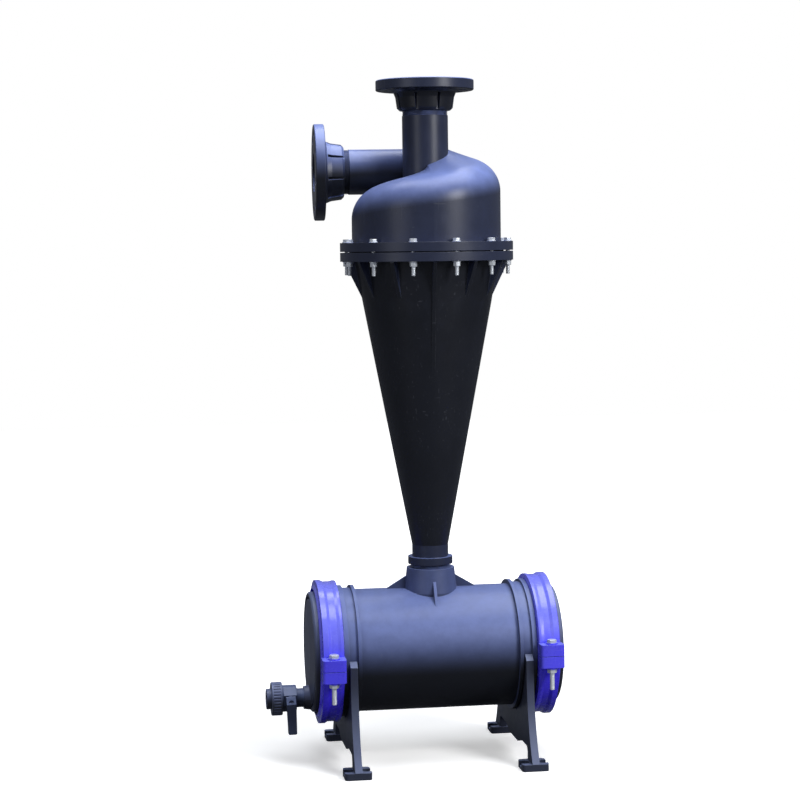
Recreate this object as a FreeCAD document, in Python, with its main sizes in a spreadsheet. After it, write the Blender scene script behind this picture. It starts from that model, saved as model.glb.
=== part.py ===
"""Plastic hydrocyclone on a horizontal sediment tank, as one parametric document.

+Z is up, the origin is on the floor under the cyclone's axis, and the tank lies along X with
its drain valve at -X. All sizes are millimetres. The head, cone and everything bolted to them
are turned together about Z by head_turn, as the clamped joint in the tank's neck allows.
"""
import FreeCAD, Part
import math
import os
import re

import Sketcher
from FreeCAD import Placement, Rotation, Vector

# Driving sizes. Each one becomes a cell of the sheet, under the same name.
SIZES = {
    # sediment tank: a tube along X with moulded ribs, a neck on top and an open flange each end
    "tank_axis_height": 224.0,
    "tank_radius": 125.5,
    "tank_wall": 7.0,
    "tank_half_length": 220.0,
    "band_radius": 129.0,
    "end_flange_width": 15.0,
    "end_flange_radius": 139.0,
    "rib_radius": 134.5,
    "inner_rib_start": 161.5,
    "inner_rib_width": 7.0,
    "outer_rib_width": 9.7,
    "neck_height": 168.0,
    "neck_top_radius": 49.2,
    "neck_base_radius": 54.5,
    "gusset_thickness": 6.0,
    "side_gusset_reach": 98.0,
    "front_gusset_reach": 82.0,
    "gusset_top_drop": 16.0,
    # cone, which screws down into the neck
    "spigot_radius": 37.5,
    "spigot_clearance": 0.2,
    "spigot_length": 38.0,
    "underflow_seal_thickness": 2.5,
    "collar_radius": 46.0,
    "collar_gap": 8.0,
    "collar_height": 15.0,
    "tip_radius": 37.3,
    "tip_length": 25.0,
    "cone_length": 584.0,
    "cone_top_radius": 148.0,
    "cone_wall": 6.6,
    "cone_rib_thickness": 7.0,
    "short_rib_reach": 20.0,
    "short_rib_length": 73.0,
    "long_rib_height": 4.5,
    "long_rib_length": 224.0,
    # bolted joint between cone and head
    "flange_radius": 177.0,
    "flange_thickness": 18.0,
    "bolt_circle_radius": 167.0,
    "bolt_hole_radius": 4.6,
    "gasket_thickness": 2.0,
    "gasket_width": 9.0,
    "head_turn": -3.1,
    # head: a drum whose roof falls along a helix from the inlet, with both pipes moulded on
    "head_radius": 152.3,
    "head_wall": 6.5,
    "head_shoulder": 64.0,
    "roof_pitch": 111.0,
    "roof_slope_right": 16.2,
    "roof_slope_left": 9.0,
    "pipe_radius": 46.8,
    "pipe_bore": 39.5,
    "pipe_thread_radius": 44.0,
    "inlet_height": 1209.0,
    "inlet_inset": 0.6,
    "inlet_reach": 223.0,
    "fairing_reach": 111.0,
    "outlet_height": 1390.0,
    "hub_radius": 52.0,
    "hub_bottom": 1135.0,
    "hub_shoulder": 1224.0,
    # vortex finder, pushed up into the hub
    "finder_radius": 41.8,
    "finder_wall": 4.0,
    "finder_clearance": 0.2,
    "finder_bottom": 1066.0,
    "finder_collar_radius": 50.0,
    "finder_collar_height": 6.0,
    # threaded pipe flanges
    "pipe_flange_radius": 100.0,
    "pipe_flange_thickness": 21.0,
    "pipe_flange_height": 61.5,
    "pipe_flange_hub_radius": 60.0,
    "pipe_flange_hub_tip": 57.0,
    "pipe_flange_chamfer": 5.0,
    "pipe_flange_flare": 14.0,
    "pipe_flange_bolt_circle": 80.0,
    "pipe_flange_hole_radius": 9.0,
    "pipe_flange_lip": 14.0,
    "thread_gap": 10.5,
    "thread_clearance": 0.2,
    "pipe_seal_thickness": 2.0,
    "hub_groove_width": 6.0,
    "hub_groove_depth": 5.0,
    "inlet_flange_turn": 9.0,
    # end caps and their seals
    "cap_radius": 123.0,
    "cap_spigot_length": 15.0,
    "cap_spigot_clearance": 0.3,
    "cap_wall": 8.0,
    "cap_reach": 254.5,
    "cap_dome": 4.0,
    "cap_groove_outer": 114.0,
    "cap_groove_inner": 108.0,
    "cap_groove_depth": 5.0,
    "cap_seal_thickness": 2.0,
    "cap_seal_width": 10.0,
    # clamps: two channel-section halves each, with a bolted lug at both ends
    "clamp_half_width": 24.0,
    "clamp_radius": 146.8,
    "clamp_inner_step": 1.8,
    "clamp_valley": 3.4,
    "clamp_shoulder": 9.5,
    "clamp_outer_drop": 16.0,
    "clamp_clearance": 0.3,
    "clamp_split": 1.0,
    "lug_reach": 172.0,
    "lug_root": 141.0,
    "lug_height": 23.5,
    "lug_bolt_offset": 158.0,
    "lug_corner": 6.0,
    "lug_boss_radius": 12.0,
    "lug_boss_height": 3.0,
    "left_clamp_turn": 3.5,
    "right_clamp_turn": -1.0,
    # fasteners
    "small_bolt_radius": 4.0,
    "small_bolt_flats": 13.0,
    "small_bolt_head": 5.4,
    "small_bolt_excess": 18.0,
    "small_nut_height": 8.6,
    "small_washer_radius": 8.5,
    "small_washer_thickness": 1.8,
    "large_bolt_radius": 5.0,
    "large_bolt_flats": 17.0,
    "large_bolt_head": 6.4,
    "large_bolt_excess": 34.5,
    "large_nut_height": 8.4,
    "large_bolt_hole_radius": 5.5,
    # saddles
    "saddle_offset": 179.0,
    "saddle_thickness": 15.0,
    "seat_clearance": 0.3,
    "saddle_clearance": 0.3,
    "arm_above_axis": 2.0,
    "arm_width": 14.2,
    "arm_slope_drop": 11.0,
    "flare_top": 190.0,
    "flare_radius": 324.0,
    "foot_reach": 195.0,
    "foot_size": 54.0,
    "foot_height": 14.0,
    "foot_corner": 7.0,
    "leg_inside": 146.0,
    "leg_inside_fillet": 12.0,
    "web_bottom": 40.0,
    "web_low": 28.0,
    "web_low_half": 45.0,
    "web_high_half": 80.0,
    "notch_radius": 8.0,
    "notch_angle": 17.0,
    "foot_scoop_radius": 12.0,
    "foot_scoop_offset": 19.5,
    "foot_scoop_floor": 6.0,
    "foot_hole_offset": 18.0,
    "foot_hole_radius": 5.5,
    # drain valve: a single-union ball valve screwed into the left cap
    "drain_drop": 95.0,
    "drain_boss_radius": 27.0,
    "drain_boss_tip": 23.5,
    "drain_boss_reach": 268.0,
    "drain_thread_radius": 19.3,
    "drain_bore": 11.0,
    "valve_axis_offset": 297.1,
    "valve_half_length": 13.5,
    "valve_half_flats": 25.5,
    "valve_thread_radius": 27.0,
    "valve_thread_end": 322.5,
    "ball_radius": 16.5,
    "ball_clearance": 0.3,
    "seat_width": 4.5,
    "carrier_radius": 21.0,
    "carrier_length": 8.0,
    "stem_radius": 5.0,
    "stem_gap": 0.05,
    "stem_collar_radius": 7.0,
    "stem_collar_height": 3.0,
    "stem_boss_radius": 9.5,
    "stem_boss_height": 6.0,
    "tang_width": 4.0,
    "tang_depth": 4.2,
    "lever_front": 47.0,
    "lever_back": 36.0,
    "lever_hub_half": 9.8,
    "lever_tip_half": 8.8,
    "lever_tip_corner": 2.0,
    "lever_above": 10.0,
    "lever_length": 66.0,
    "lever_bevel_height": 14.0,
    "lever_bevel_depth": 10.0,
    "lever_rest_tilt": -1.6,
    "union_nut_radius": 34.3,
    "union_nut_far": 335.0,
    "union_nut_near": 313.0,
    "union_nut_lip": 7.0,
    "nut_groove_radius": 1.7,
    "nut_groove_near": 317.0,
    "nut_groove_far": 331.5,
    "tail_radius": 21.0,
    "tail_flange_radius": 26.0,
    "tail_reach": 345.0,
    "tail_bore": 16.6,
    "tail_thread_length": 14.0,
    "union_seal_thickness": 1.8,
}

# Levels and stations that follow from the driving sizes.
LEVELS = {
    "underflow_radius": "tip_radius - cone_wall",
    "neck_top": "tank_axis_height + neck_height",
    "spigot_end": "neck_top - spigot_length",
    "socket_floor": "spigot_end - underflow_seal_thickness",
    "collar_bottom": "neck_top + collar_gap",
    "collar_top": "collar_bottom + collar_height",
    "cone_start": "collar_top + tip_length",
    "cone_top": "cone_start + cone_length",
    "cone_slope": "(cone_top_radius - tip_radius) / cone_length",
    "gasket_bottom": "cone_top + flange_thickness",
    "head_bottom": "gasket_bottom + gasket_thickness",
    "head_flange_top": "head_bottom + flange_thickness",
    "inlet_offset": "head_radius - pipe_radius - inlet_inset",
    "roof_top": "inlet_height + pipe_radius",
    "socket_radius": "spigot_radius + spigot_clearance",
    "pipe_thread_end": "pipe_flange_lip + pipe_seal_thickness",
    "pipe_shoulder": "pipe_flange_height + thread_gap",
    "clamp_centre": "tank_half_length + cap_seal_thickness / 2",
    "clamp_inner_half": "end_flange_width + cap_seal_thickness / 2 + clamp_clearance",
    "clamp_floor": "end_flange_radius + 0.5",
    "clamp_lip": "band_radius + clamp_clearance",
    "cap_flange_near": "tank_half_length + cap_seal_thickness",
    "cap_flange_far": "cap_flange_near + end_flange_width",
    "tank_inner_radius": "tank_radius - tank_wall",
    "inner_rib_end": "inner_rib_start + inner_rib_width",
    "outer_rib_start": "saddle_offset + saddle_thickness / 2 + saddle_clearance",
    "outer_rib_end": "outer_rib_start + outer_rib_width",
    "saddle_seat": "band_radius + seat_clearance",
    "foot_centre": "foot_reach - foot_size / 2",
    "drain_height": "tank_axis_height - drain_drop",
    "valve_near": "valve_axis_offset - valve_half_length",
    "valve_far": "valve_axis_offset + valve_half_length",
    "ball_room": "ball_radius + ball_clearance",
    "seat_inner": "sqrt(ball_radius * ball_radius - drain_bore * drain_bore) + 0.5",
    "seat_outer": "seat_inner - 0.5 + seat_width",
    "carrier_far": "valve_axis_offset + seat_outer + carrier_length",
    "tail_flange_near": "valve_thread_end + union_seal_thickness",
    "tail_flange_far": "union_nut_far - union_nut_lip",
}

FLANGE_BOLTS = 12
PIPE_FLANGE_HOLES = 8
LONG_RIBS = 2
ROOF_STEP = 15.0
NUT_GROOVES = 32

doc = FreeCAD.newDocument("hydrocyclone")


def fill_sheet():
    """Put every driving size in the sheet, as plain text under its own alias."""
    cells = doc.addObject("Spreadsheet::Sheet", "Sizes")
    for row, (name, value) in enumerate(SIZES.items(), start=1):
        cells.set("A%d" % row, name)
        cells.set("B%d" % row, str(value))
        cells.setAlias("B%d" % row, name)
    doc.recompute()
    return cells


def linked(formula):
    """Point each name in a formula at its cell of the sheet or at its derived level."""
    def owner(match):
        word = match.group(0)
        if word in SIZES:
            return "Sizes." + word
        if word in LEVELS:
            return "Levels." + word
        return word
    return re.sub(r"[a-z_]\w*", owner, str(formula))


def derive_levels():
    """Derived levels are properties of a variable set, each bound to the sheet."""
    holder = doc.addObject("App::VarSet", "Levels")
    for name, formula in LEVELS.items():
        holder.addProperty("App::PropertyFloat", name, "Levels")
        holder.setExpression(name, linked(formula))
    doc.recompute()
    return holder


sheet = fill_sheet()
levels = derive_levels()
mm = type("Measures", (), {})()
for name in SIZES:
    setattr(mm, name, float(getattr(sheet, name)))
for name in LEVELS:
    setattr(mm, name, float(getattr(levels, name)))

pieces = []


# ---------------------------------------------------------------- drawing helpers
def new_body(label):
    """A body of its own for one piece."""
    body = doc.addObject("PartDesign::Body", label)
    body.Label = label
    pieces.append(body)
    return body


def origin_item(body, role):
    """The body's own origin plane or axis with this role."""
    return next(item for item in body.Origin.OriginFeatures if item.Role == role)


def place(body, base=("0", "0", "0"), yaw="0", pitch="0", roll="0"):
    """Bind the body's placement: turned by roll, pitch and yaw, then moved to the base point."""
    corner = "create(<<vector>>; %s; %s; %s)" % base
    turn = "create(<<rotation>>; %s; %s; %s)" % (yaw, pitch, roll)
    body.setExpression("Placement", linked("create(<<placement>>; %s; %s)" % (corner, turn)))


def new_sketch(body, role, lift=None):
    """A sketch on one of the body's origin planes, lifted along the plane's normal."""
    sketch = body.newObject("Sketcher::SketchObject", "Sketch")
    sketch.AttachmentSupport = (origin_item(body, role), "")
    sketch.MapMode = "FlatFace"
    if lift:
        sketch.setExpression("AttachmentOffset.Base.z", linked(lift))
    return sketch


def bound(sketch, kind, geometry, point, guess, formula):
    """A dimension of the sketch that follows a formula."""
    number = sketch.addConstraint(Sketcher.Constraint(kind, -1, 1, geometry, point, guess))
    sketch.setExpression("Constraints[%d]" % number, linked(formula))


def draw_outline(sketch, corners):
    """A closed outline of straight edges whose corners follow their formulas."""
    first = sketch.GeometryCount
    count = len(corners)
    turns = [2 * math.pi * k / count for k in range(count)]
    spots = [Vector(10 * math.cos(turn), 10 * math.sin(turn), 0) for turn in turns]
    for k in range(count):
        sketch.addGeometry(Part.LineSegment(spots[k], spots[(k + 1) % count]), False)
    for k in range(count):
        following = first + (k + 1) % count
        sketch.addConstraint(Sketcher.Constraint("Coincident", first + k, 2, following, 1))
    for k, (across, up) in enumerate(corners):
        bound(sketch, "DistanceX", first + k, 1, spots[k].x, across)
        bound(sketch, "DistanceY", first + k, 1, spots[k].y, up)


def draw_circle(sketch, across, up, radius):
    """A circle whose centre and radius follow their formulas."""
    number = sketch.addGeometry(Part.Circle(Vector(5, 5, 0), Vector(0, 0, 1), 3), False)
    bound(sketch, "DistanceX", number, 3, 5, across)
    bound(sketch, "DistanceY", number, 3, 5, up)
    rim = sketch.addConstraint(Sketcher.Constraint("Radius", number, 3))
    sketch.setExpression("Constraints[%d]" % rim, linked(radius))


def spun(body, kind, axis, corners, angle="360", plane="XZ_Plane"):
    """A Revolution or a Groove of an outline about one of the body's axes."""
    sketch = new_sketch(body, plane)
    draw_outline(sketch, corners)
    feature = body.newObject("PartDesign::" + kind, kind)
    feature.Profile = (sketch, [""])
    feature.ReferenceAxis = (origin_item(body, axis), [""])
    feature.Angle = float(angle)
    feature.Midplane = float(angle) < 360
    sketch.Visibility = False
    return feature


def raised(body, sketch, length, both_ways=False, backwards=False):
    """A Pad from a sketch."""
    feature = body.newObject("PartDesign::Pad", "Pad")
    feature.Profile = (sketch, [""])
    feature.SideType = "Symmetric" if both_ways else "One side"
    feature.Reversed = backwards
    feature.setExpression("Length", linked(length))
    sketch.Visibility = False
    return feature


def cut_out(body, sketch, length=None, backwards=False):
    """A Pocket from a sketch, right through both ways where no length is given."""
    feature = body.newObject("PartDesign::Pocket", "Pocket")
    feature.Profile = (sketch, [""])
    if length is None:
        feature.SideType = "Symmetric"
        feature.Type = "ThroughAll"
    else:
        feature.setExpression("Length", linked(length))
        feature.Reversed = backwards
    sketch.Visibility = False
    return feature


def repeated(body, feature, axis, count):
    """The feature, again and again round one of the body's axes."""
    pattern = body.newObject("PartDesign::PolarPattern", "PolarPattern")
    pattern.Originals = [feature]
    pattern.Axis = (origin_item(body, axis), [""])
    pattern.Angle = 360
    pattern.Occurrences = count
    body.Tip = pattern
    return pattern


def rounded(body, radius, chosen):
    """Round the edges that the chooser picks from the body's present shape."""
    doc.recompute()
    base = body.Tip
    names = ["Edge%d" % (k + 1) for k, edge in enumerate(base.Shape.Edges) if chosen(edge)]
    feature = body.newObject("PartDesign::Fillet", "Fillet")
    feature.Base = (base, names)
    feature.setExpression("Radius", linked(radius))
    return feature


def ring(label, inner, outer, low, high, axis="Z_Axis"):
    """A plain ring about the body's Z axis, or about its X axis."""
    body = new_body(label)
    corners = [(inner, low), (outer, low), (outer, high), (inner, high)]
    if axis == "X_Axis":
        corners = [(along, radius) for radius, along in corners]
    spun(body, "Revolution", axis, corners)
    return body


def middle(edge):
    """The middle point of an edge."""
    return edge.valueAt((edge.FirstParameter + edge.LastParameter) / 2)


def solid_piece(label, shape, placement=None):
    """A piece whose shape is worked out here from the sheet's sizes."""
    piece = doc.addObject("Part::Feature", label)
    piece.Label = label
    piece.Shape = shape
    if placement:
        piece.Placement = placement
    pieces.append(piece)
    return piece


def on_circle(radius, angle):
    """Formulas for a point on a circle, at an angle in degrees from the first axis."""
    return "%s * cos(%s)" % (radius, angle), "%s * sin(%s)" % (radius, angle)


# ---------------------------------------------------------------- cone
def cone_radius_at(drop):
    """Outer radius of the cone, this far below its top."""
    return "(cone_top_radius - cone_slope * (%s))" % drop


def make_cone():
    """Spigot, collar, plain cone and top flange, with ribs under it and down the parting line."""
    body = new_body("cyclone_cone")
    spun(body, "Revolution", "Z_Axis", [
        ("underflow_radius", "spigot_end"),
        ("spigot_radius", "spigot_end"),
        ("spigot_radius", "collar_bottom"),
        ("collar_radius", "collar_bottom"),
        ("collar_radius", "collar_top"),
        ("tip_radius", "collar_top"),
        ("tip_radius", "cone_start"),
        ("cone_top_radius", "cone_top"),
        ("flange_radius", "cone_top"),
        ("flange_radius", "gasket_bottom"),
        ("head_radius - head_wall", "gasket_bottom"),
        ("underflow_radius", "cone_start"),
    ])
    buried = "3"
    short = new_sketch(body, "XZ_Plane")
    draw_outline(short, [
        ("cone_top_radius - " + buried, "cone_top + 1"),
        ("cone_top_radius + short_rib_reach", "cone_top + 1"),
        ("cone_top_radius + short_rib_reach", "cone_top - 3"),
        (cone_radius_at("short_rib_length"), "cone_top - short_rib_length"),
        (cone_radius_at("short_rib_length") + " - " + buried, "cone_top - short_rib_length"),
    ])
    short_rib = raised(body, short, "cone_rib_thickness", both_ways=True)
    repeated(body, short_rib, "Z_Axis", FLANGE_BOLTS)
    long = new_sketch(body, "YZ_Plane")
    draw_outline(long, [
        ("cone_top_radius - " + buried, "cone_top + 1"),
        ("cone_top_radius + long_rib_height", "cone_top + 1"),
        (cone_radius_at("long_rib_length"), "cone_top - long_rib_length"),
        (cone_radius_at("long_rib_length") + " - " + buried, "cone_top - long_rib_length"),
    ])
    long_rib = raised(body, long, "cone_rib_thickness", both_ways=True)
    repeated(body, long_rib, "Z_Axis", LONG_RIBS)
    hole = new_sketch(body, "XY_Plane")
    across, up = on_circle("bolt_circle_radius", 180 / FLANGE_BOLTS)
    draw_circle(hole, across, up, "bolt_hole_radius")
    repeated(body, cut_out(body, hole), "Z_Axis", FLANGE_BOLTS)
    place(body, yaw="head_turn")


# ---------------------------------------------------------------- head
def roof_section(turn, inset, inner, low):
    """Radial section of the head, a turn in degrees clockwise from the rear.

    The roof falls by its pitch in each turn. It meets the wall in a round shoulder and rises
    towards the pipe in the middle. The inset moves wall, shoulder and roof inwards together.
    """
    blend = (1 - math.cos(math.radians(min(turn, 90.0) * 2))) / 2
    shoulder = mm.pipe_radius + (mm.head_shoulder - mm.pipe_radius) * blend
    slope = math.radians(mm.roof_slope_right if turn <= 180 else mm.roof_slope_left)
    fall = mm.roof_pitch * turn / 360
    wall = mm.head_radius - inset
    centre = mm.head_radius - shoulder
    curve = shoulder - inset
    lift = shoulder * math.cos(slope)
    lift += (centre + shoulder * math.sin(slope) - mm.inlet_offset) * math.tan(slope)
    level = mm.roof_top - fall - lift
    way = Vector(math.sin(math.radians(turn)), math.cos(math.radians(turn)), 0)

    def at(radius, height):
        return way * radius + Vector(0, 0, height)

    def on_shoulder(tilt):
        return at(centre + curve * math.sin(tilt), level + curve * math.cos(tilt))

    crest = on_shoulder(slope)
    rise = (centre + curve * math.sin(slope) - inner) * math.tan(slope)
    peak = at(inner, crest.z + rise)
    halfway = on_shoulder((slope + math.pi / 2) / 2)
    edges = [
        Part.LineSegment(at(inner, low), at(wall, low)).toShape(),
        Part.LineSegment(at(wall, low), at(wall, level)).toShape(),
        Part.Arc(at(wall, level), halfway, crest).toShape(),
        Part.LineSegment(crest, peak).toShape(),
        Part.LineSegment(peak, at(inner, low)).toShape(),
    ]
    return Part.Wire(edges)


def volute(start, end, inset, inner, low):
    """The head between two turns, as one loft through its radial sections."""
    steps = round((end - start) / ROOF_STEP)
    turns = [start + (end - start) * k / steps for k in range(steps + 1)]
    return Part.makeLoft([roof_section(turn, inset, inner, low) for turn in turns], True)


def upright(radius, low, high):
    """A cylinder about the head's axis between two heights."""
    return Part.makeCylinder(radius, high - low, Vector(0, 0, low))


def lying(radius, near, far):
    """A cylinder about the inlet's axis, between two distances to the left of the middle."""
    start = Vector(-near, mm.inlet_offset, mm.inlet_height)
    return Part.makeCylinder(radius, far - near, start, Vector(-1, 0, 0))


def make_head():
    """Flange, drum with a helical roof, tangential inlet pipe, outlet pipe and inner hub."""
    low = mm.head_bottom
    half = 180.0
    core = 30.0
    shell = volute(0, half, 0, core, low).fuse(volute(half, 2 * half, 0, core, low))
    outlet_shoulder = mm.outlet_height - mm.pipe_shoulder
    outlet_end = mm.outlet_height - mm.pipe_thread_end
    inlet_shoulder = mm.inlet_reach - mm.pipe_shoulder
    inlet_end = mm.inlet_reach - mm.pipe_thread_end
    fairing_depth = mm.inlet_height - mm.hub_bottom
    fairing_front = mm.inlet_offset - mm.hub_radius / 2
    fairing = Part.makeBox(mm.fairing_reach, mm.head_radius, fairing_depth,
                           Vector(-mm.fairing_reach, fairing_front, mm.hub_bottom))
    fairing = fairing.common(upright(mm.head_radius, mm.hub_bottom, mm.inlet_height))
    solid = shell.fuse([
        upright(mm.flange_radius, low, mm.head_flange_top),
        upright(mm.pipe_radius, low, outlet_shoulder),
        upright(mm.pipe_thread_radius, outlet_shoulder - 1, outlet_end),
        fairing,
        lying(mm.pipe_radius, 0, inlet_shoulder),
        lying(mm.pipe_thread_radius, inlet_shoulder - 1, inlet_end),
    ])
    # the feed channel starts behind the inlet's end wall and runs on under it after one turn
    end_wall = math.degrees(mm.head_wall / mm.inlet_offset)
    channel_low = low - 1
    channel = volute(end_wall, half, mm.head_wall, mm.hub_radius, channel_low)
    lower = volute(half, 2 * half + end_wall, mm.head_wall, mm.hub_radius, channel_low)
    hollows = [
        channel,
        lower,
        upright(mm.hub_radius + 1, channel_low, mm.hub_bottom),
        lying(mm.pipe_bore, -3 * mm.head_wall, mm.inlet_reach),
        upright(mm.finder_radius + mm.finder_clearance, mm.hub_bottom - 1, mm.hub_shoulder),
        upright(mm.pipe_bore, mm.hub_shoulder - 1, mm.outlet_height),
    ]
    for hollow in hollows:
        solid = solid.cut(hollow)
    for k in range(FLANGE_BOLTS):
        angle = math.radians((k + 0.5) * 360 / FLANGE_BOLTS)
        centre = Vector(math.cos(angle), math.sin(angle), 0) * mm.bolt_circle_radius
        hole = Part.makeCylinder(mm.bolt_hole_radius, mm.flange_thickness + 2,
                                 centre + Vector(0, 0, low - 1))
        solid = solid.cut(hole)
    solid_piece("cyclone_head", solid.removeSplitter(), head_placement())


def head_placement():
    """The head's own turn about the vertical axis."""
    return Placement(Vector(), Rotation(Vector(0, 0, 1), mm.head_turn))


def make_vortex_finder():
    """Tube that takes the clean water out of the core, held by a collar under the hub."""
    body = new_body("vortex_finder")
    spun(body, "Revolution", "Z_Axis", [
        ("finder_radius - finder_wall", "finder_bottom"),
        ("finder_radius", "finder_bottom"),
        ("finder_radius", "hub_bottom - finder_collar_height"),
        ("finder_collar_radius", "hub_bottom - finder_collar_height"),
        ("finder_collar_radius", "hub_bottom"),
        ("finder_radius", "hub_bottom"),
        ("finder_radius", "hub_shoulder - finder_wall / 2"),
        ("finder_radius - finder_wall", "hub_shoulder - finder_wall / 2"),
    ])
    place(body, yaw="head_turn")


def make_gasket():
    """Flat ring squeezed between cone and head, inside the bolts."""
    inner = "head_radius - head_wall + 1.5"
    body = ring("head_gasket", inner, inner + " + gasket_width",
                "gasket_bottom", "head_bottom")
    place(body, yaw="head_turn")


# ---------------------------------------------------------------- pipe flanges
def make_pipe_flange(label, base, yaw, pitch, turn):
    """Threaded flange for a pipe end. Its own Z runs out of the pipe and ends on its face.

    The turn is how far its holes and grooves have come round when it is screwed home.
    """
    body = new_body(label)
    flare_start = "-pipe_flange_thickness - pipe_flange_flare"
    thread = "pipe_thread_radius + thread_clearance"
    spun(body, "Revolution", "Z_Axis", [
        ("pipe_bore + 0.5", "0"),
        ("pipe_flange_radius - 1.5", "0"),
        ("pipe_flange_radius", "-1.5"),
        ("pipe_flange_radius", "1.5 - pipe_flange_thickness"),
        ("pipe_flange_radius - 1.5", "-pipe_flange_thickness"),
        ("pipe_flange_hub_radius + pipe_flange_flare * 0.85", "-pipe_flange_thickness"),
        ("pipe_flange_hub_radius + pipe_flange_flare * 0.28",
         "-pipe_flange_thickness - pipe_flange_flare * 0.3"),
        ("pipe_flange_hub_radius", flare_start),
        ("pipe_flange_hub_tip", "pipe_flange_chamfer - pipe_flange_height"),
        ("pipe_flange_hub_tip - pipe_flange_chamfer", "-pipe_flange_height"),
        (thread, "-pipe_flange_height"),
        (thread, "-pipe_flange_lip"),
        ("pipe_bore + 0.5", "-pipe_flange_lip"),
    ])
    phase = "(%s + %s)" % (180 / PIPE_FLANGE_HOLES, turn)
    groove = new_sketch(body, "XY_Plane", "-pipe_flange_height - 1")
    floor = "pipe_flange_hub_tip - hub_groove_depth"
    far = "pipe_flange_hub_radius + 3"
    corners = []
    for reach, side in ((floor, "-"), (far, "-"), (far, "+"), (floor, "+")):
        across = "(%s) * cos(%s) %s hub_groove_width / 2 * sin(%s)" % (
            reach, phase, "+" if side == "-" else "-", phase)
        up = "(%s) * sin(%s) %s hub_groove_width / 2 * cos(%s)" % (reach, phase, side, phase)
        corners.append((across, up))
    draw_outline(groove, corners)
    length = "pipe_flange_height - pipe_flange_thickness - pipe_flange_flare * 0.4 + 1"
    cut = cut_out(body, groove, length, backwards=True)
    repeated(body, cut, "Z_Axis", PIPE_FLANGE_HOLES)
    hole = new_sketch(body, "XY_Plane")
    across, up = on_circle("pipe_flange_bolt_circle", phase)
    draw_circle(hole, across, up, "pipe_flange_hole_radius")
    repeated(body, cut_out(body, hole), "Z_Axis", PIPE_FLANGE_HOLES)
    place(body, base, yaw=yaw, pitch=pitch)


def make_pipe_seal(label, base, yaw, pitch):
    """Flat seal between the pipe's end and the lip of its flange."""
    body = ring(label, "pipe_bore + 0.5", "pipe_thread_radius",
                "-pipe_thread_end", "-pipe_flange_lip")
    place(body, base, yaw=yaw, pitch=pitch)


def make_pipe_joints():
    """The same flange and seal on the outlet and on the inlet."""
    outlet = ("0", "0", "outlet_height")
    inlet = ("-inlet_reach * cos(head_turn) - inlet_offset * sin(head_turn)",
             "inlet_offset * cos(head_turn) - inlet_reach * sin(head_turn)",
             "inlet_height")
    for name, base, pitch, turn in (("outlet", outlet, "0", "0"),
                                    ("inlet", inlet, "-90", "inlet_flange_turn")):
        make_pipe_flange(name + "_flange", base, "head_turn", pitch, turn)
        make_pipe_seal(name + "_seal", base, "head_turn", pitch)


# ---------------------------------------------------------------- sediment tank
def make_tank():
    """Tube with moulded rings, end flanges, a threaded neck on top and its four gussets."""
    body = new_body("sediment_tank")
    flange_root = "tank_half_length - end_flange_width"
    right_half = [
        ("inner_rib_start", "tank_radius"),
        ("inner_rib_start", "rib_radius"),
        ("inner_rib_end", "rib_radius"),
        ("inner_rib_end", "band_radius"),
        ("outer_rib_start", "band_radius"),
        ("outer_rib_start", "rib_radius"),
        ("outer_rib_end", "rib_radius"),
        ("outer_rib_end", "band_radius"),
        (flange_root, "band_radius"),
        (flange_root, "end_flange_radius"),
        ("tank_half_length", "end_flange_radius"),
        ("tank_half_length", "0"),
    ]
    left_half = [("-(%s)" % along, radius) for along, radius in reversed(right_half)]
    spun(body, "Revolution", "X_Axis", left_half + right_half)
    root = "tank_inner_radius * 0.85"
    spun(body, "Revolution", "Z_Axis", [
        ("0", root),
        ("neck_base_radius", root),
        ("neck_base_radius", "tank_inner_radius"),
        ("neck_top_radius", "neck_height"),
        ("0", "neck_height"),
    ])
    crest = "neck_height - gusset_top_drop"
    side = new_sketch(body, "XZ_Plane")
    draw_outline(side, [
        ("-side_gusset_reach", "tank_radius - 3"),
        ("side_gusset_reach", "tank_radius - 3"),
        ("neck_top_radius", crest),
        ("-neck_top_radius", crest),
    ])
    raised(body, side, "gusset_thickness", both_ways=True)
    front = new_sketch(body, "YZ_Plane")
    front_foot = "sqrt((tank_radius - 2) * (tank_radius - 2) - front_gusset_reach ^ 2)"
    draw_outline(front, [
        ("-front_gusset_reach", front_foot),
        ("front_gusset_reach", front_foot),
        ("neck_top_radius", crest + " - 4"),
        ("-neck_top_radius", crest + " - 4"),
    ])
    raised(body, front, "gusset_thickness", both_ways=True)
    end = "tank_half_length + 1"
    spun(body, "Groove", "X_Axis", [
        ("-(%s)" % end, "0"),
        ("-(%s)" % end, "tank_inner_radius"),
        (end, "tank_inner_radius"),
        (end, "0"),
    ])
    floor = "socket_floor - tank_axis_height"
    spun(body, "Groove", "Z_Axis", [
        ("0", "tank_inner_radius / 2"),
        ("underflow_radius", "tank_inner_radius / 2"),
        ("underflow_radius", floor),
        ("socket_radius", floor),
        ("socket_radius", "neck_height + 1"),
        ("0", "neck_height + 1"),
    ])
    place(body, ("0", "0", "tank_axis_height"))


def make_underflow_seal():
    """Flat seal at the bottom of the neck's socket, under the cone's spigot."""
    ring("underflow_seal", "underflow_radius", "spigot_radius", "socket_floor", "spigot_end")


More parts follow.
